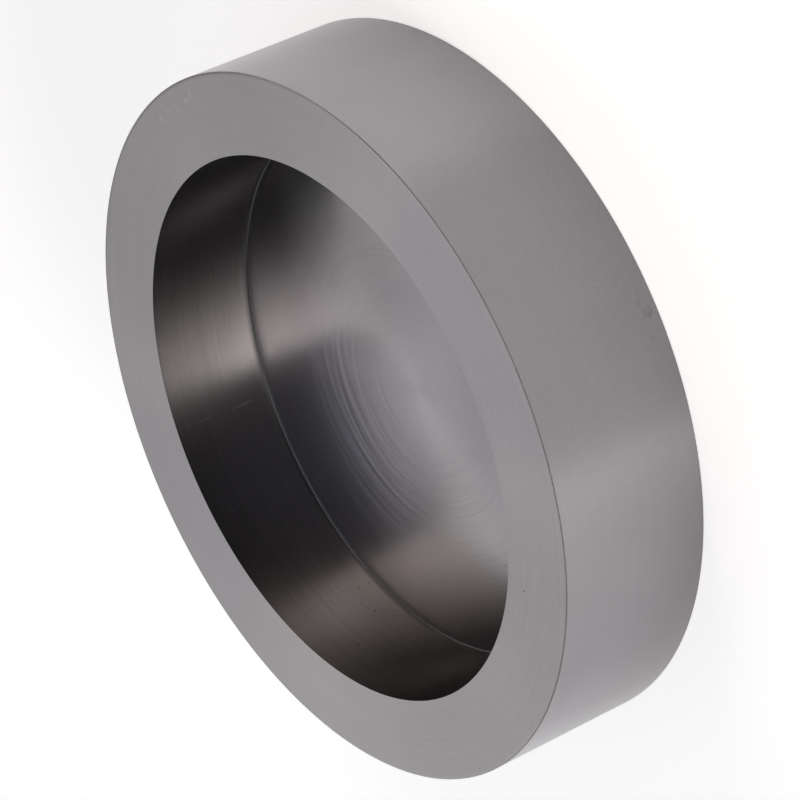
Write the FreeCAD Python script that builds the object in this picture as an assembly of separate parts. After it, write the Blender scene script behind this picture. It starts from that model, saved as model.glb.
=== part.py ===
import FreeCAD, Part
import math
import os

# Graphite ingot mold: a shallow round dish turned from one block. It stands on its flat base, with
# its axis along Z and the origin at the centre of the base. Lengths in millimetres, angles in degrees.

# Driving sizes
outer_diameter = 70.0
height = 16.0
rim_width = 8.0              # flat ring between the mouth of the cavity and the outside
floor_thickness = 4.8        # graphite left under the cavity
wall_draft_angle = 0.8       # the cavity widens towards its mouth, so that the ingot drops out
floor_corner_radius = 0.15   # left by the nose of the boring tool where the wall meets the floor
rim_edge_break = 0.1         # narrow flat where the rim meets the outside
base_edge_break = 0.06       # narrow flat where the base meets the outside
mouth_edge_break = 0.05      # the mouth is left almost sharp

# Sizes that follow
outer_radius = outer_diameter / 2
mouth_radius = outer_radius - rim_width
cavity_depth = height - floor_thickness
floor_radius = mouth_radius - cavity_depth * math.tan(math.radians(wall_draft_angle))

edge_tolerance = 0.001       # how near a ring edge lies to the circle that it is looked up by


def point(radius, z):
    """Place in the half section, which lies in the XZ plane."""
    return FreeCAD.Vector(radius, 0, z)


def turned_blank():
    """Half section with sharp corners, swung once round the axis."""
    corners = [
        point(0, 0),
        point(outer_radius, 0),
        point(outer_radius, height),
        point(mouth_radius, height),
        point(floor_radius, floor_thickness),
        point(0, floor_thickness),
    ]
    outline = Part.makePolygon(corners + corners[:1])
    half_section = Part.Face(outline)
    return half_section.revolve(FreeCAD.Vector(0, 0, 0), FreeCAD.Vector(0, 0, 1), 360)


def ring_edges(solid, radius, z):
    """The circular edges of one radius at one height."""
    found = []
    for edge in solid.Edges:
        if not isinstance(edge.Curve, Part.Circle):
            continue
        same_radius = abs(edge.Curve.Radius - radius) < edge_tolerance
        same_height = abs(edge.Curve.Center.z - z) < edge_tolerance
        if same_radius and same_height:
            found.append(edge)
    return found


def mold_body():
    """The blank with its inner corner rounded and its three outer edges broken."""
    body = turned_blank()
    body = body.makeFillet(floor_corner_radius, ring_edges(body, floor_radius, floor_thickness))
    body = body.makeChamfer(mouth_edge_break, ring_edges(body, mouth_radius, height))
    body = body.makeChamfer(rim_edge_break, ring_edges(body, outer_radius, height))
    body = body.makeChamfer(base_edge_break, ring_edges(body, outer_radius, 0))
    return body


def export_node(name, solid):
    if not solid.isValid():
        raise ValueError(name + " is not a valid solid")
    solid.exportStep("parts/" + name + ".step")
    print(name, "volume", round(solid.Volume / 1000, 3), "cm3")


os.makedirs("parts", exist_ok=True)
export_node("mold_body", mold_body())
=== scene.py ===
import math
import random
import bmesh
import bpy
from mathutils import Matrix, Vector, noise


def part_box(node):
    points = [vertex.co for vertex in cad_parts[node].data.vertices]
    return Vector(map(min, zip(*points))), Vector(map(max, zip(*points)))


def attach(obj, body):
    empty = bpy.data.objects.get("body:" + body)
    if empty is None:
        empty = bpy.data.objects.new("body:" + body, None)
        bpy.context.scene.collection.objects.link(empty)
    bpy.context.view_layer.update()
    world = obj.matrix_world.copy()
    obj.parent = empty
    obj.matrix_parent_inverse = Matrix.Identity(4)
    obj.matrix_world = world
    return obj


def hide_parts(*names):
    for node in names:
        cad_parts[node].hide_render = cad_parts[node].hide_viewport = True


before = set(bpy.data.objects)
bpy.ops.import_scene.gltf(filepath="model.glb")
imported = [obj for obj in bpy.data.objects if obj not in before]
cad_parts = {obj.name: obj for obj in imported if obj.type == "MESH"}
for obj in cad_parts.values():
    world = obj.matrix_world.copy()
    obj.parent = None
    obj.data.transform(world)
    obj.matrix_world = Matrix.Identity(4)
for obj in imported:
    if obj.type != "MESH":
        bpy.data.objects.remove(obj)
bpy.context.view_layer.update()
moldLow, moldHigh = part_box("mold_body")
outerRadius = (moldHigh.x - moldLow.x) / 2
height = moldHigh.z
mm = 0.001


def srgb(hexColour):
    # a hex colour as written, turned to the linear values that the shader takes
    parts = [int(hexColour[i:i + 2], 16) / 255 for i in (1, 3, 5)]
    return [p / 12.92 if p <= 0.04045 else ((p + 0.055) / 1.055) ** 2.4 for p in parts] + [1.0]


def addNode(tree, kind, settings=None, links=None):
    # one node with its settings and incoming links; a name is an attribute or else an input socket
    node = tree.nodes.new(kind)
    for name, value in (settings or {}).items():
        if isinstance(name, str) and hasattr(node, name):
            setattr(node, name, value)
        else:
            node.inputs[name].default_value = value
    for name, source in (links or {}).items():
        tree.links.new(source, node.inputs[name])
    return node


def emptyTree(owner):
    owner.use_nodes = True
    owner.node_tree.nodes.clear()
    return owner.node_tree


# The graphite body: the half section that the lathe left, swung round the axis

bodyShape = {
    "rimWidth": 8.0 * mm,
    "floorThickness": 4.8 * mm,
    "wallDraft": math.radians(0.8),
    "cornerRadius": 0.15 * mm,     # left by the nose of the boring tool
    "cornerSteps": 5,
    "rimBreak": 0.1 * mm,
    "rimBreakSteps": 3,
    "baseBreak": 0.06 * mm,
    "mouthBreak": 0.02 * mm,
    "stepsAround": 256,
    "floorCuts": 150,              # rings of vertices that carry the turning waves
    "wallCuts": 48,
    "rimCuts": 30,
    "outsideCuts": 30,
    "baseCuts": 24,
    "mergeDistance": 1e-7,         # merges what the spin leaves double, on the axis and where it closes
    "sharpAngle": math.radians(25),
    "levelNormal": 0.95,           # a face is level if its normal has more of Z than this
    "tornShare": 0.95,             # share of the corner's height that has the torn finish
}
mouthRadius = outerRadius - bodyShape["rimWidth"]
floorZ = bodyShape["floorThickness"]
floorRadius = mouthRadius - (height - floorZ) * math.tan(bodyShape["wallDraft"])

turningWaves = {                   # the shallow waves that the tool left, as wave length and height
    "floor": [(1.7 * mm, 0.021 * mm), (0.95 * mm, 0.019 * mm), (0.55 * mm, 0.011 * mm)],
    "wall": [(2.2 * mm, 0.0014 * mm), (0.6 * mm, 0.0003 * mm)],
    "rim": [(1.8 * mm, 0.0012 * mm)],
    "outside": [(3.0 * mm, 0.0010 * mm)],
    "starts": {"floor": 1.0, "rim": 4.0, "outside": 8.0, "wall": 12.0},  # where in the noise each begins
    "startStep": 7.3,              # how much further on the next wave of the same face begins
    "cellsPerWave": 2,
    "cellsPerRadian": 1.2,         # how soon a wave changes as it runs round the axis
    "edgeMargin": 1.02,            # corner radii beside each edge that stay plain
    "stillRadius": 1 * mm,         # the very middle stays plain too
    "levelTolerance": 1e-6,        # how near to a level face its own vertices lie
    # radius in mm and share of the floor's waves that there is
    "floorEnvelope": [(0, 0.0), (6, 0.12), (9, 0.4), (11, 1.0), (19, 1.0), (24, 0.45), (26.2, 0.0)],
    "floorSide": 90,               # degrees from +X: the floor's waves are full here and weakest opposite
    "floorFocus": 3,               # how quickly they weaken away from that side
    "floorLeast": 0.05,
}

# pits where grains were torn out: angle from +X in degrees, height and width in mm
wallPits = [
    (122.9, 8.9, 0.15), (125.0, 5.77, 0.18), (124.2, 7.9, 0.13), (125.2, 7.09, 0.17), (121.0, 8.5, 0.12),
    (128.8, 8.07, 0.16), (130.8, 7.85, 0.14), (132.2, 7.63, 0.2), (135.9, 6.51, 0.17), (134.3, 6.07, 0.11),
    (137.7, 5.37, 0.2), (139.2, 5.3, 0.14), (142.0, 4.92, 0.28), (142.0, 7.95, 0.15), (146.0, 6.61, 0.16),
    (148.5, 7.84, 0.13), (128.3, 6.49, 0.11), (129.5, 6.69, 0.12), (138.6, 11.99, 0.26), (131.9, 7.5, 0.13),
]
flatPits = [                       # x, y and width in mm, in the floor and in the rim
    ("floor", -18.48, -1.47, 0.17), ("floor", -18.0, -1.25, 0.12), ("floor", -17.65, -2.5, 0.1),
    ("rim", -20.15, -21.11, 0.2),
]
scatteredPits = {                  # more of the smallest ones, in the wall
    "seed": 11,
    "count": 16,
    "angles": (121, 150),
    "heights": (5.2, 9.5),
    "widths": (0.06, 0.1),
}
pitBall = {                        # the ball that cuts a pit out
    "lift": 0.3,                   # share of its radius by which its centre stands out of the surface
    "stretch": ((0.8, 1.3), (0.8, 1.3), (0.8, 1.2)),  # least and most along X, Y and Z
    "subdivisions": 2,
}


def cornerVert(bm, radius, z):
    return min(bm.verts, key=lambda v: (v.co - Vector((radius, 0, z))).length)


def roundCorner(bm, radius, z, offset, steps):
    bmesh.ops.bevel(bm, geom=[cornerVert(bm, radius, z)], offset=offset, offset_type="OFFSET",
                    segments=steps, profile=0.5, affect="VERTICES", material=-1)


def longEdge(bm, start, end):
    # the straight stretch of the section that runs between two of its corners
    middle = (Vector(start) + Vector(end)) / 2
    middle = Vector((middle.x, 0, middle.y))
    return min(bm.edges, key=lambda e: ((e.verts[0].co + e.verts[1].co) / 2 - middle).length)


def halfSection(bm):
    s = bodyShape
    corners = [(0, 0), (outerRadius, 0), (outerRadius, height), (mouthRadius, height),
               (floorRadius, floorZ), (0, floorZ)]
    verts = [bm.verts.new((radius, 0, z)) for radius, z in corners]
    for pair in zip(verts, verts[1:]):
        bm.edges.new(pair)
    roundCorner(bm, *corners[1], s["baseBreak"], 1)
    roundCorner(bm, *corners[2], s["rimBreak"], s["rimBreakSteps"])
    roundCorner(bm, *corners[3], s["mouthBreak"], 1)
    roundCorner(bm, *corners[4], s["cornerRadius"], s["cornerSteps"])
    # the stretches between the corners get the rings of vertices that carry the turning waves
    cuts = [s["baseCuts"], s["outsideCuts"], s["rimCuts"], s["wallCuts"], s["floorCuts"]]
    stretches = [longEdge(bm, a, b) for a, b in zip(corners, corners[1:])]
    for edge, count in zip(stretches, cuts):
        bmesh.ops.subdivide_edges(bm, edges=[edge], cuts=count)


def waveHeight(name, distance, heading):
    # the sum of a face's waves at a distance along the section, from -1 to 1 times their heights
    total = 0
    start = turningWaves["starts"][name]
    turn = heading * turningWaves["cellsPerRadian"]
    for length, rise in turningWaves[name]:
        along = distance / length * turningWaves["cellsPerWave"]
        total += rise * noise.noise(Vector((turn.x + start, turn.y, along)))
        start += turningWaves["startStep"]
    return total


def envelopeAt(radius, heading):
    # the share of the floor's waves that there is at one place
    side = math.radians(turningWaves["floorSide"])
    facing = max(0, heading.x * math.cos(side) + heading.y * math.sin(side))
    least = turningWaves["floorLeast"]
    full = least + (1 - least) * facing ** turningWaves["floorFocus"]
    points = turningWaves["floorEnvelope"]
    for (r0, share0), (r1, share1) in zip(points, points[1:]):
        if r0 <= radius / mm < r1:
            return full * (share0 + (share1 - share0) * (radius / mm - r0) / (r1 - r0))
    return 0


def turnWaves(bm):
    # the waves of the rim, the wall and the outside only take material away, so that the body stays
    # inside its nominal size; both walls have theirs from the floor's level up
    edge = bodyShape["cornerRadius"] * turningWaves["edgeMargin"]
    level = turningWaves["levelTolerance"]
    full = {}
    for name in ("wall", "rim", "outside"):
        full[name] = sum(rise for length, rise in turningWaves[name])
    for vert in bm.verts:
        radius = vert.co.xy.length
        if radius < turningWaves["stillRadius"]:
            continue
        heading = vert.co.xy / radius
        z = vert.co.z
        if abs(z - floorZ) < level and radius < floorRadius - edge:
            vert.co.z += waveHeight("floor", radius, heading) * envelopeAt(radius, heading)
        elif abs(z - height) < level and mouthRadius + edge < radius < outerRadius - edge:
            vert.co.z += waveHeight("rim", radius, heading) - full["rim"]
        elif floorZ + edge < z < height - edge:
            if radius > (mouthRadius + outerRadius) / 2:
                radius += waveHeight("outside", z, heading) - full["outside"]
            else:
                radius += waveHeight("wall", z, heading) + full["wall"]
            vert.co.xy = heading * radius


# the place of each finish in the dictionary of finishes
floorFinish, outsideFinish, wallFinish, cornerFinish, rimFinish, edgeFinish = range(6)


def finishAt(face):
    place = face.calc_center_median()
    if abs(face.normal.z) > bodyShape["levelNormal"]:
        onFloor = place.xy.length < floorRadius and place.z > floorZ / 2
        return floorFinish if onFloor else rimFinish       # the base is faced like the rim
    if place.xy.length > (mouthRadius + outerRadius) / 2:
        return edgeFinish if place.z > height - bodyShape["rimBreak"] else outsideFinish
    inCorner = place.z - floorZ < bodyShape["cornerRadius"] * bodyShape["tornShare"]
    return cornerFinish if inCorner else wallFinish


def makePits():
    # small balls, set a little into the surface, that are cut out of the body
    onWall = [(angle, z * mm, width * mm) for angle, z, width in wallPits]
    random.seed(scatteredPits["seed"])
    for _ in range(scatteredPits["count"]):
        angle = random.uniform(*scatteredPits["angles"])
        z = random.triangular(*scatteredPits["heights"], scatteredPits["heights"][0])
        onWall.append((angle, z * mm, random.uniform(*scatteredPits["widths"]) * mm))
    places = []
    for angle, z, width in onWall:
        radius = floorRadius + (z - floorZ) * math.tan(bodyShape["wallDraft"]) - pitBall["lift"] * width / 2
        turn = math.radians(angle)
        places.append((Vector((radius * math.cos(turn), radius * math.sin(turn), z)), width))
    for where, x, y, width in flatPits:
        z = (floorZ if where == "floor" else height) + pitBall["lift"] * width / 2 * mm
        places.append((Vector((x * mm, y * mm, z)), width * mm))
    bm = bmesh.new()
    for place, width in places:
        stretch = Matrix.Diagonal([random.uniform(*ends) for ends in pitBall["stretch"]] + [1])
        bmesh.ops.create_icosphere(bm, subdivisions=pitBall["subdivisions"], radius=width / 2,
                                   matrix=Matrix.Translation(place) @ stretch)
    for face in bm.faces:
        face.material_index = cornerFinish
    mesh = bpy.data.meshes.new("pits")
    bm.to_mesh(mesh)
    bm.free()
    pits = bpy.data.objects.new("pits", mesh)
    bpy.context.scene.collection.objects.link(pits)
    return pits


def cutPits(body):
    pits = makePits()
    cut = body.modifiers.new("pits", "BOOLEAN")
    cut.object = pits
    cut.operation = "DIFFERENCE"
    cut.solver = "EXACT"
    ready = body.evaluated_get(bpy.context.evaluated_depsgraph_get())
    mesh = bpy.data.meshes.new_from_object(ready)
    body.modifiers.clear()
    body.data = mesh
    bpy.data.objects.remove(pits)


def setSharpEdges(mesh):
    # smooth along the waves, sharp where two finishes meet and at the lips of the pits
    bm = bmesh.new()
    bm.from_mesh(mesh)
    for face in bm.faces:
        face.smooth = True
    for edge in bm.edges:
        sameFinish = len({face.material_index for face in edge.link_faces}) == 1
        edge.smooth = sameFinish and edge.calc_face_angle(math.pi) < bodyShape["sharpAngle"]
    bm.to_mesh(mesh)
    bm.free()


def makeBody():
    bm = bmesh.new()
    halfSection(bm)
    bmesh.ops.spin(bm, geom=bm.verts[:] + bm.edges[:], cent=(0, 0, 0), axis=(0, 0, 1),
                   dvec=(0, 0, 0), angle=math.tau, steps=bodyShape["stepsAround"],
                   use_merge=True, use_duplicate=False)
    bmesh.ops.remove_doubles(bm, verts=bm.verts, dist=bodyShape["mergeDistance"])
    bmesh.ops.recalc_face_normals(bm, faces=bm.faces)
    for face in bm.faces:
        face.material_index = finishAt(face)
    turnWaves(bm)
    mesh = bpy.data.meshes.new("graphiteBody")
    bm.to_mesh(mesh)
    bm.free()
    body = bpy.data.objects.new("graphiteBody", mesh)
    bpy.context.scene.collection.objects.link(body)
    for name, look in finishes.items():
        mesh.materials.append(makeGraphite(name, look))
    print("body turned")
    cutPits(body)
    setSharpEdges(body.data)
    print("pits cut")
    return body


# Machined graphite: fine-grained block graphite, turned with a fine feed and left bare

turnedFace = {
    "marksAndPaintedLight": "floor",
    "grey": "#A29FA2",
    "roughness": (0.228, 0.252),
    "anisotropy": 0.973,
    "grooveTurn": 0.25,            # a quarter turn, so that reflections are drawn out across the grooves
    "edgeTint": "#FFFFFF",
    "noiseReach": (0.3, 0.7),      # where most of a noise's values lie
    "ringPitch": 0.15 * mm,        # the feed is nearer 0.1 mm, drawn coarser so that it shows
    "ringRise": 0.0045 * mm,
    "ringStain": 0.08,             # how much lighter and darker the rings are
    "bumpRings": (1.0, 1.0),       # share of the pitch, and detail, of the grooves, the stain and the sheen
    "stainRings": (1.1, 3.0),
    "sheenRings": (1.3, 2.0),
    "ringsGrow": (5 * mm, 13 * mm),  # the rings are faint in the middle and full from there on
    "ringsLeast": 0.25,
    "arcCells": 1.6,               # how often a ring changes in a radian round the axis
    "blotchSize": 6 * mm,          # faint unevenness of the bare surface
    "blotchStain": 0.035,
    "blotchDetail": 3.0,
    "grainSize": 0.16 * mm,        # the grain is nearer 0.01 mm, drawn coarser so that it shows
    "grainStain": 0.07,
    "grainDetail": 1.0,
    "cornerReach": 0.48 * mm,      # close to the inner corner the surface is torn, so duller, and painted shade darkens it
    "cornerRoughness": 0.35,
    "cornerPaintedShade": 0.36,
    "middleReach": 11 * mm,        # near the axis the tool moves slowly and leaves the surface smoother
    "middleRoughness": -0.08,
}
facedRim = dict(
    turnedFace,
    marksAndPaintedLight="rim",
    grey="#A4A1A2",
    ringPitch=0.2 * mm,
    ringRise=0.0008 * mm,
    ringStain=0.035,
)
turnedOutside = dict(
    turnedFace,
    marksAndPaintedLight="outside",
    grey="#949194",
    roughness=(0.21, 0.225),
    anisotropy=0.872,
    ringPitch=0.2 * mm,
    ringRise=0.0004 * mm,
    ringStain=0.03,
)
# the bored wall gets darker and a little duller towards the mouth, and its deeper grooves hide the
# shine that the other faces have at a grazing view
boredWall = dict(
    turnedFace,
    marksAndPaintedLight="wall",
    grey="#959294",
    mouthGrey="#6A6769",
    roughness=(0.277, 0.292),
    mouthRoughness=0.04,
    anisotropy=0.727,
    edgeTint="#B4B4B4",
    ringPitch=0.2 * mm,
    ringRise=0.0007 * mm,
    ringStain=0.14,
    cornerReach=0.8 * mm,
    cornerRoughness=0.3,
    cornerPaintedShade=0.38,
)
toolCorner = dict(
    turnedFace,
    marksAndPaintedLight="corner",
    grey="#75757A",
    roughness=(0.55, 0.62),
    anisotropy=0.0,
    cornerRoughness=0.0,
    cornerPaintedShade=1.0,
)
brokenEdge = dict(toolCorner, marksAndPaintedLight="edge", grey="#8A8683", roughness=(0.85, 0.95))
finishes = {                       # in the order of the finishes' places above
    "graphite, fine-grained, faced floor": turnedFace,
    "graphite, fine-grained, turned": turnedOutside,
    "graphite, fine-grained, bored": boredWall,
    "graphite, torn by the tool": toolCorner,
    "graphite, fine-grained, faced rim": facedRim,
    "graphite, broken edge": brokenEdge,
}

# faint marks of each surface, and patches of painted light and shade: centre and size in mm (x, y, z), and
# how much lighter or darker they are
marksAndPaintedLight = {
    "floor": [                     # two specks, and a darker patch of painted shade and two paler patches of painted light
        ((5.6, -5.7, 4.8), (0.3, 0.3, 1), -0.08), ((-13.98, 11.79, 4.8), (0.25, 0.25, 1), 0.12),
        ((15, -1, 4.8), (20, 13, 9), -0.22), ((-17.5, 3, 4.8), (9, 8, 9), 0.2),
        ((-16, 13, 4.8), (9, 9, 9), 0.25),
    ],
    "wall": [                      # a long fine scratch along the axis, fainter higher up, and a pale dot
        ((5.68, 26.28, 8.1), (0.11, 2, 2.1), 1.1), ((5.85, 26.35, 12.6), (0.12, 2, 2.8), 0.35),
        ((-3.37, 26.7, 13.81), (0.35, 1, 0.3), 0.35),
        ((-19.95, 17.96, 5.5), (14, 14, 8), -0.4),   # painted shade, darker where the pits are
    ],
    "corner": [                    # painted light and shade: the torn line is paler in the middle of the far side than beside it
        ((-4.66, 26.43, 4.8), (9, 9, 9), 0.5), ((16.52, 21.15, 4.8), (15, 15, 15), -0.68),
        ((-19.95, 17.96, 4.8), (13, 13, 13), -0.42),
    ],
    "edge": [                      # painted light and shade: the broken edge is brighter on one of the front sides than on the other
        ((30.3, -17.5, 16), (16, 16, 16), 0.5), ((-30.3, -17.5, 16), (12, 12, 12), -0.22),
    ],
    "rim": [                       # pale smudges, as from a fingertip, a dark one, and a wide side darkened by painted shade
        ((32.95, 3.65, 16), (0.7, 0.3, 1), 0.17), ((32.57, 3.7, 16), (0.3, 0.3, 1), 0.1),
        ((32.97, 1.62, 16), (0.35, 0.35, 1), 0.17), ((33.22, 2.2, 16), (0.25, 0.45, 1), 0.11),
        ((33.24, 0.46, 16), (0.32, 0.35, 1), 0.13), ((32.73, 0.1, 16), (0.42, 0.35, 1), 0.17),
        ((33.0, -1.75, 16), (0.5, 0.28, 1), 0.18), ((33.05, -2.4, 16), (0.3, 0.8, 1), 0.08),
        ((33.4, -3.12, 16), (0.65, 0.34, 1), 0.18), ((34.4, 0.23, 16), (0.3, 0.28, 1), 0.11),
        ((29.38, -6.64, 16), (0.35, 0.25, 1), -0.08), ((-31, 0, 16), (14, 22, 9), -0.12),
    ],
    "outside": [                   # a dark ring-shaped smudge near the base, patches by it, a nick and a dot
        ((-1.79, -34.95, 1.54), (0.35, 2, 0.3), -0.11), ((-2.27, -34.93, 1.55), (0.35, 2, 0.3), -0.12),
        ((-2.39, -34.92, 1.07), (0.4, 2, 0.35), -0.19), ((-2.18, -34.93, 0.77), (0.35, 2, 0.3), -0.19),
        ((-1.7, -34.96, 0.85), (0.4, 2, 0.35), -0.12), ((-2.0, -34.94, 1.15), (0.8, 2, 0.7), -0.06),
        ((-1.02, -34.99, 1.71), (0.5, 2, 0.45), -0.1), ((0.12, -35.0, 1.23), (0.45, 2, 0.35), -0.08),
        ((-0.5, -35.0, 1.25), (0.6, 2, 0.4), -0.06), ((-4.4, -34.72, 1.6), (0.35, 2, 0.3), -0.12),
        ((34.0, -8.23, 6.56), (2, 0.3, 0.12), -0.25), ((-26.5, -22.9, 6.35), (0.3, 0.3, 0.25), 0.1),
    ],
}


def addMarkOrPaintedLight(tree, place, centre, size, level):
    # a soft spot that is lighter or darker by its level in the middle and fades out at its size
    away = addNode(tree, "ShaderNodeVectorMath", {"operation": "SUBTRACT", 1: Vector(centre) * mm},
                   {0: place})
    away = addNode(tree, "ShaderNodeVectorMath", {"operation": "DIVIDE", 1: Vector(size) * mm},
                   {0: away.outputs[0]})
    away = addNode(tree, "ShaderNodeVectorMath", {"operation": "LENGTH"}, {0: away.outputs[0]})
    return addNode(tree, "ShaderNodeMapRange", {
        "interpolation_type": "SMOOTHSTEP", "To Min": 1 + level, "To Max": 1.0},
        {"Value": away.outputs["Value"]}).outputs[0]


def makeGraphite(name, look):
    # A soft semi-metallic grey. The grooves run round the axis, so reflections are drawn out across
    # them, while edges along them stay fairly sharp.
    material = bpy.data.materials.new(name)
    tree = emptyTree(material)
    place = addNode(tree, "ShaderNodeTexCoord").outputs["Object"]
    axes = addNode(tree, "ShaderNodeSeparateXYZ", links={0: place})
    flat = addNode(tree, "ShaderNodeCombineXYZ", links={"X": axes.outputs["X"], "Y": axes.outputs["Y"]})
    radius = addNode(tree, "ShaderNodeVectorMath", {"operation": "LENGTH"},
                     {0: flat.outputs[0]}).outputs["Value"]
    heading = addNode(tree, "ShaderNodeVectorMath", {"operation": "NORMALIZE"}, {0: flat.outputs[0]})
    arcs = addNode(tree, "ShaderNodeVectorMath", {"operation": "SCALE", "Scale": look["arcCells"]},
                   {0: heading.outputs[0]})
    arcAxes = addNode(tree, "ShaderNodeSeparateXYZ", links={0: arcs.outputs[0]})

    def spread(source, low, high):
        # a noise's usual reach, turned to a range of values
        least, most = look["noiseReach"]
        return addNode(tree, "ShaderNodeMapRange", {
            "From Min": least, "From Max": most, "To Min": low, "To Max": high},
            {"Value": source}).outputs[0]

    def rings(pitchShare, detail):
        # fast along the radius and the height, slow round the axis
        ringsPerMetre = 1 / (look["ringPitch"] * pitchShare)
        tall = addNode(tree, "ShaderNodeMath", {"operation": "MULTIPLY", 1: ringsPerMetre},
                       {0: axes.outputs["Z"]})
        wide = addNode(tree, "ShaderNodeMath", {"operation": "MULTIPLY", 1: ringsPerMetre}, {0: radius})
        spot = addNode(tree, "ShaderNodeCombineXYZ", links={
            "X": arcAxes.outputs["X"], "Y": arcAxes.outputs["Y"], "Z": wide.outputs[0]})
        return addNode(tree, "ShaderNodeTexNoise", {
            "noise_dimensions": "4D", "Scale": 1.0, "Detail": detail},
            {"Vector": spot.outputs[0], "W": tall.outputs[0]}).outputs["Fac"]

    def blotches(size, stain, detail):
        cloud = addNode(tree, "ShaderNodeTexNoise", {"Scale": 1 / size, "Detail": detail}, {"Vector": place})
        return spread(cloud.outputs["Fac"], 1 - stain / 2, 1 + stain / 2)

    # how far the rings and grooves have grown, from the middle outwards
    grown = addNode(tree, "ShaderNodeMapRange", {
        "interpolation_type": "SMOOTHSTEP", "From Min": look["ringsGrow"][0],
        "From Max": look["ringsGrow"][1], "To Min": look["ringsLeast"], "To Max": 1.0},
        {"Value": radius}).outputs[0]

    # how torn the surface is close to the inner corner: duller there, and darker with painted shade
    inward = addNode(tree, "ShaderNodeMath", {"operation": "SUBTRACT", 1: floorRadius}, {0: radius})
    lift = addNode(tree, "ShaderNodeMath", {"operation": "SUBTRACT", 1: floorZ}, {0: axes.outputs["Z"]})
    away = addNode(tree, "ShaderNodeCombineXYZ", links={"X": inward.outputs[0], "Y": lift.outputs[0]})
    away = addNode(tree, "ShaderNodeVectorMath", {"operation": "LENGTH"}, {0: away.outputs[0]})
    torn = addNode(tree, "ShaderNodeMapRange", {
        "interpolation_type": "SMOOTHSTEP", "From Max": look["cornerReach"],
        "To Min": 1.0, "To Max": 0.0}, {"Value": away.outputs["Value"]}).outputs[0]

    # brightness: the stain of the rings, and then all that makes it lighter or darker, real tone and marks
    # and also painted light and shade
    lines = spread(rings(*look["stainRings"]), -look["ringStain"] / 2, look["ringStain"] / 2)
    stain = addNode(tree, "ShaderNodeMath", {"operation": "MULTIPLY_ADD", 2: 1.0},
                    {0: lines, 1: grown}).outputs[0]
    tonesAndPaintedShade = [blotches(look["blotchSize"], look["blotchStain"], look["blotchDetail"])]
    tonesAndPaintedShade.append(blotches(look["grainSize"], look["grainStain"], look["grainDetail"]))
    for centre, size, level in marksAndPaintedLight[look["marksAndPaintedLight"]]:
        tonesAndPaintedShade.append(addMarkOrPaintedLight(tree, place, centre, size, level))
    # painted shade close to the inner corner
    tonesAndPaintedShade.append(addNode(tree, "ShaderNodeMath", {
        "operation": "MULTIPLY_ADD", 1: look["cornerPaintedShade"] - 1, 2: 1.0}, {0: torn}).outputs[0])
    for shade in tonesAndPaintedShade:
        stain = addNode(tree, "ShaderNodeMath", {"operation": "MULTIPLY"}, {0: stain, 1: shade}).outputs[0]

    # roughness: rings of finer and coarser sheen, duller in the corner and smoother in the middle
    sheen = spread(rings(*look["sheenRings"]), *look["roughness"])
    dull = addNode(tree, "ShaderNodeMath", {"operation": "MULTIPLY_ADD", 1: look["cornerRoughness"]},
                   {0: torn, 2: sheen}).outputs[0]
    middle = addNode(tree, "ShaderNodeMapRange", {
        "interpolation_type": "SMOOTHSTEP", "From Max": look["middleReach"],
        "To Min": look["middleRoughness"], "To Max": 0.0}, {"Value": radius}).outputs[0]
    dull = addNode(tree, "ShaderNodeMath", links={0: dull, 1: middle}).outputs[0]

    # a finish with a grey of its own at the mouth turns to it, and gets duller, on the way up
    grey = {"data_type": "RGBA", 0: 0.0, 6: srgb(look["grey"])}
    grey[7] = srgb(look.get("mouthGrey", look["grey"]))
    towardsMouth = {}
    if "mouthGrey" in look:
        rise = addNode(tree, "ShaderNodeMapRange", {"From Min": floorZ, "From Max": height},
                       {"Value": axes.outputs["Z"]})
        dull = addNode(tree, "ShaderNodeMath", {"operation": "MULTIPLY_ADD", 1: look["mouthRoughness"]},
                       {0: rise.outputs[0], 2: dull}).outputs[0]
        towardsMouth = {0: rise.outputs[0]}
    colour = addNode(tree, "ShaderNodeMix", grey, towardsMouth)
    colour = addNode(tree, "ShaderNodeVectorMath", {"operation": "SCALE"},
                     {0: colour.outputs[2], "Scale": stain})

    grooves = addNode(tree, "ShaderNodeMath", {"operation": "MULTIPLY"},
                      {0: rings(*look["bumpRings"]), 1: grown})
    bump = addNode(tree, "ShaderNodeBump", {"Strength": 1.0, "Distance": look["ringRise"]},
                   {"Height": grooves.outputs[0]})
    tangent = addNode(tree, "ShaderNodeTangent", {"direction_type": "RADIAL", "axis": "Z"})
    shader = addNode(tree, "ShaderNodeBsdfPrincipled", {
        "Metallic": 1.0, "Specular Tint": srgb(look["edgeTint"]),
        "Anisotropic": look["anisotropy"], "Anisotropic Rotation": look["grooveTurn"]},
        {"Base Color": colour.outputs[0], "Roughness": dull, "Normal": bump.outputs[0],
         "Tangent": tangent.outputs[0]})
    addNode(tree, "ShaderNodeOutputMaterial", links={"Surface": shader.outputs[0]})
    return material


body = makeBody()
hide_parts("mold_body")
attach(body, "root")
print("graphite body made:", len(body.data.polygons), "faces")


# Studio: a white table, a white sweep beyond the mold, two softboxes beside the camera, a dark room

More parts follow.
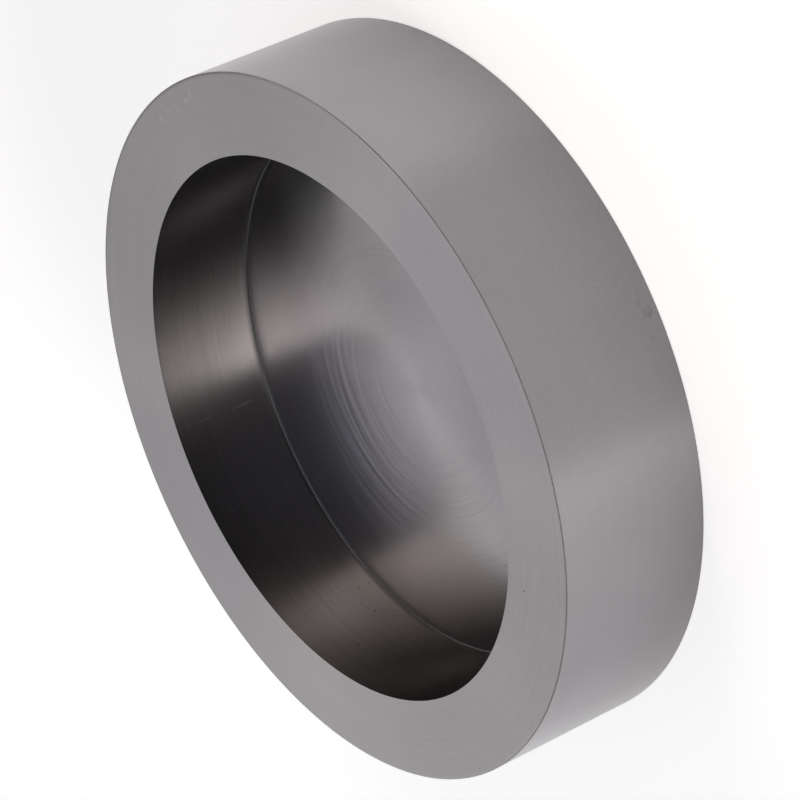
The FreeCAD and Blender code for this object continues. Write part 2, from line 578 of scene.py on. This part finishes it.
studio = {
    "tableSize": 8.0,
    "tableGap": 0.02 * mm,         # keeps the table and the base from lying in one plane
    "tableWhite": "#E6E6E6",
    "tableGlow": 0.54,             # lifts the table to white for the camera and in reflections
    "paintedShadowReach": 15 * mm,       # how far from the mold a painted shadow dims the table's reflection
    "paintedShadowLevel": 0.7,
    "paintedFrontShadeEnds": (25, 58),         # degrees from -Y, between which the painted shade on that side ends
    "paintedFrontShadeLevel": 0.78,
    "roomGrey": 0.09,
    "ceilingGrey": 0.55,
    "ceilingRise": (46, 64),       # elevations, in degrees like the other ends here
    "skyTint": "#F0F0FF",          # the light from higher up is cooler
    "skyTintEnds": (34, 60),
    "skirtTop": (4, 16),           # the paper's edges stand up a little all round, save by the camera
    "skirtEnds": (70, 115),
    "sweepWhite": 0.97,
    "sweepLeft": (-82, -52),       # azimuths from straight beyond towards +X, less the elevation
    "sweepRight": (-36, 2),
    "sweepTop": (54, 78),
    "distance": 1.3,               # of the softboxes, in metres
}

# each softbox spans two azimuths from the camera towards +X, and fades from its first to its second edge
softboxes = [
    {"name": "leftSoftbox", "from": -37, "to": -99, "elevation": 14, "height": 24, "radiance": 26.5,
     "tint": "#FFFBF3", "fade": 3.0},
    {"name": "rightSoftbox", "from": 57, "to": 122, "elevation": 14, "height": 24, "radiance": 11.5,
     "tint": "#FFF3E4", "fade": 1.5},
]


def directionAt(azimuth, elevation):
    # angles in degrees, the azimuth from -Y towards +X and the elevation up from the table
    a = math.radians(azimuth)
    e = math.radians(elevation)
    return Vector((math.sin(a) * math.cos(e), -math.cos(a) * math.cos(e), math.sin(e)))


def makePaper():
    # Matte paper that the camera and the reflections see as white. In reflections a painted shadow makes it
    # greyer close to the mold, and painted shade makes it greyer on the camera's side.
    material = bpy.data.materials.new("white table, matte paper")
    tree = emptyTree(material)
    paper = addNode(tree, "ShaderNodeBsdfDiffuse", {"Color": srgb(studio["tableWhite"])})
    place = addNode(tree, "ShaderNodeTexCoord").outputs["Object"]
    axes = addNode(tree, "ShaderNodeSeparateXYZ", links={0: place})
    reach = addNode(tree, "ShaderNodeVectorMath", {"operation": "LENGTH"}, {0: place})
    paintedContactShadow = addNode(tree, "ShaderNodeMapRange", {
        "interpolation_type": "SMOOTHSTEP", "From Min": outerRadius,
        "From Max": outerRadius + studio["paintedShadowReach"], "To Min": studio["paintedShadowLevel"], "To Max": 1.0},
        {"Value": reach.outputs["Value"]})
    nearness = addNode(tree, "ShaderNodeMath", {"operation": "MULTIPLY", 1: -1.0}, {0: axes.outputs["Y"]})
    azimuth = addNode(tree, "ShaderNodeMath", {"operation": "ARCTAN2"},
                      {0: axes.outputs["X"], 1: nearness.outputs[0]})
    aside = addNode(tree, "ShaderNodeMath", {"operation": "ABSOLUTE"}, {0: azimuth.outputs[0]})
    paintedFrontShade = addNode(tree, "ShaderNodeMapRange", {
        "interpolation_type": "SMOOTHSTEP", "From Min": math.radians(studio["paintedFrontShadeEnds"][0]),
        "From Max": math.radians(studio["paintedFrontShadeEnds"][1]), "To Min": studio["paintedFrontShadeLevel"], "To Max": 1.0},
        {"Value": aside.outputs[0]})
    paintedReflectionShade = addNode(tree, "ShaderNodeMath", {"operation": "MULTIPLY"},
                       {0: paintedContactShadow.outputs[0], 1: paintedFrontShade.outputs[0]})
    rays = addNode(tree, "ShaderNodeLightPath")
    bounced = addNode(tree, "ShaderNodeMath", {"operation": "MAXIMUM"},
                      {0: rays.outputs["Is Glossy Ray"], 1: rays.outputs["Is Transmission Ray"]})
    bounced = addNode(tree, "ShaderNodeMath", {"operation": "MULTIPLY"},
                      {0: bounced.outputs[0], 1: paintedReflectionShade.outputs[0]})
    seen = addNode(tree, "ShaderNodeMath", {"operation": "MAXIMUM"},
                   {0: rays.outputs["Is Camera Ray"], 1: bounced.outputs[0]})
    strength = addNode(tree, "ShaderNodeMath", {"operation": "MULTIPLY", 1: studio["tableGlow"]},
                       {0: seen.outputs[0]})
    glow = addNode(tree, "ShaderNodeEmission", links={"Strength": strength.outputs[0]})
    both = addNode(tree, "ShaderNodeAddShader", links={0: paper.outputs[0], 1: glow.outputs[0]})
    # from below the table is clear, so that the base can be looked at
    under = addNode(tree, "ShaderNodeNewGeometry").outputs["Backfacing"]
    clear = addNode(tree, "ShaderNodeBsdfTransparent")
    topOnly = addNode(tree, "ShaderNodeMixShader", links={
        0: under, 1: both.outputs[0], 2: clear.outputs[0]})
    addNode(tree, "ShaderNodeOutputMaterial", links={"Surface": topOnly.outputs[0]})
    return material


def makeTable():
    bm = bmesh.new()
    bmesh.ops.create_grid(bm, x_segments=1, y_segments=1, size=studio["tableSize"] / 2,
                          matrix=Matrix.Translation((0, 0, -studio["tableGap"])))
    mesh = bpy.data.meshes.new("table")
    bm.to_mesh(mesh)
    bm.free()
    mesh.materials.append(makePaper())
    table = bpy.data.objects.new("table", mesh)
    bpy.context.scene.collection.objects.link(table)


def makeRoom():
    # the sweep is a soft-edged white stretch of wall beyond the mold; the rest of the room is dark
    world = bpy.data.worlds.new("studio room")
    bpy.context.scene.world = world
    tree = emptyTree(world)
    direction = addNode(tree, "ShaderNodeTexCoord").outputs["Generated"]
    axes = addNode(tree, "ShaderNodeSeparateXYZ", links={0: direction})
    azimuth = addNode(tree, "ShaderNodeMath", {"operation": "ARCTAN2"},
                      {0: axes.outputs["X"], 1: axes.outputs["Y"]})
    lift = addNode(tree, "ShaderNodeMath", {"operation": "ARCSINE"}, {0: axes.outputs["Z"]})

    def ramp(source, ends, low, high):
        # smooth step from one level to another between two angles in degrees
        return addNode(tree, "ShaderNodeMapRange", {
            "interpolation_type": "SMOOTHSTEP", "From Min": math.radians(ends[0]),
            "From Max": math.radians(ends[1]), "To Min": low, "To Max": high},
            {"Value": source.outputs[0]})

    # both sides of the sweep lean towards +X by a degree for each degree of height
    leaned = addNode(tree, "ShaderNodeMath", {"operation": "SUBTRACT"},
                     {0: azimuth.outputs[0], 1: lift.outputs[0]})
    sweep = ramp(leaned, studio["sweepLeft"], 0.0, 1.0)
    sweepRight = ramp(leaned, studio["sweepRight"], 1.0, 0.0)
    sweepTop = ramp(lift, studio["sweepTop"], studio["sweepWhite"], 0.0)
    for limit in (sweepRight, sweepTop):
        sweep = addNode(tree, "ShaderNodeMath", {"operation": "MULTIPLY"},
                        {0: sweep.outputs[0], 1: limit.outputs[0]})
    turnedAway = addNode(tree, "ShaderNodeMath", {"operation": "ABSOLUTE"}, {0: azimuth.outputs[0]})
    skirtSides = ramp(turnedAway, studio["skirtEnds"], 1.0, 0.0)
    skirtTop = ramp(lift, studio["skirtTop"], studio["sweepWhite"], 0.0)
    skirt = addNode(tree, "ShaderNodeMath", {"operation": "MULTIPLY"},
                    {0: skirtTop.outputs[0], 1: skirtSides.outputs[0]})
    ceiling = ramp(lift, studio["ceilingRise"], studio["roomGrey"], studio["ceilingGrey"])
    brightest = sweep
    for part in (ceiling, skirt):
        brightest = addNode(tree, "ShaderNodeMath", {"operation": "MAXIMUM"},
                            {0: brightest.outputs[0], 1: part.outputs[0]})
    # the camera itself sees the room at full brightness
    rays = addNode(tree, "ShaderNodeLightPath")
    level = addNode(tree, "ShaderNodeMix", {"data_type": "FLOAT", 3: 1.0},
                    {0: rays.outputs["Is Camera Ray"], 2: brightest.outputs[0]})
    high = ramp(lift, studio["skyTintEnds"], 0.0, 1.0)
    colour = addNode(tree, "ShaderNodeMix", {
        "data_type": "RGBA", 6: srgb("#FFFFFF"), 7: srgb(studio["skyTint"])}, {0: high.outputs[0]})
    sky = addNode(tree, "ShaderNodeBackground",
                  links={"Strength": level.outputs[0], "Color": colour.outputs[2]})
    addNode(tree, "ShaderNodeOutputWorld", links={"Surface": sky.outputs[0]})


def makeSoftbox(box):
    reach = studio["distance"]
    towards = directionAt((box["from"] + box["to"]) / 2, box["elevation"])
    halfWidth = math.radians(abs(box["to"] - box["from"]) / 2)
    halfHeight = math.radians(box["height"] / 2)
    light = bpy.data.lights.new(box["name"], "AREA")
    light.shape = "RECTANGLE"
    light.size = 2 * reach * math.cos(math.radians(box["elevation"])) * math.tan(halfWidth)
    light.size_y = 2 * reach * math.tan(halfHeight)
    light.energy = box["radiance"] * math.pi * light.size * light.size_y
    light.color = srgb(box["tint"])[:3]
    tree = emptyTree(light)
    # the lamp's own X points to its first edge, but away from it where the box stands towards +X
    across = addNode(tree, "ShaderNodeNewGeometry").outputs["Parametric"]
    across = addNode(tree, "ShaderNodeSeparateXYZ", links={0: across}).outputs["X"]
    if box["to"] > 0:
        across = addNode(tree, "ShaderNodeMath", {"operation": "SUBTRACT", 0: 1.0}, {1: across}).outputs[0]
    fade = addNode(tree, "ShaderNodeMath", {"operation": "POWER", 1: box["fade"]}, {0: across})
    glow = addNode(tree, "ShaderNodeEmission", links={"Strength": fade.outputs[0]})
    addNode(tree, "ShaderNodeOutputLight", links={"Surface": glow.outputs[0]})
    lamp = bpy.data.objects.new(box["name"], light)
    bpy.context.scene.collection.objects.link(lamp)
    lamp.location = towards * reach
    lamp.rotation_mode = "QUATERNION"
    lamp.rotation_quaternion = (-towards).to_track_quat("-Z", "Y")
    lamp.visible_camera = False


makeTable()
makeRoom()
for box in softboxes:
    makeSoftbox(box)
print("studio made")


# Camera: a long lens, rolled so that the standing mold is framed as in the photograph

cameraSet = {
    "lens": 192.97,
    "sensorWidth": 36,
    "nearest": 10 * mm,
    "aim": Vector((-0.256, 0, 7.032)) * mm,
    "azimuth": 0.042,              # degrees from -Y
    "elevation": 30.693,
    "distance": 401.98 * mm,
    "roll": -114.152,
}


def makeCamera():
    back = directionAt(cameraSet["azimuth"], cameraSet["elevation"])
    data = bpy.data.cameras.new("camera")
    data.lens = cameraSet["lens"]
    data.sensor_width = cameraSet["sensorWidth"]
    data.clip_start = cameraSet["nearest"]
    camera = bpy.data.objects.new("camera", data)
    bpy.context.scene.collection.objects.link(camera)
    level = (-back).to_track_quat("-Z", "Y").to_matrix().to_4x4()
    roll = Matrix.Rotation(math.radians(cameraSet["roll"]), 4, "Z")
    place = Matrix.Translation(cameraSet["aim"] + back * cameraSet["distance"])
    camera.matrix_world = place @ level @ roll
    bpy.context.scene.camera = camera


makeCamera()
bpy.context.scene.view_settings.view_transform = "Standard"
print("camera made")
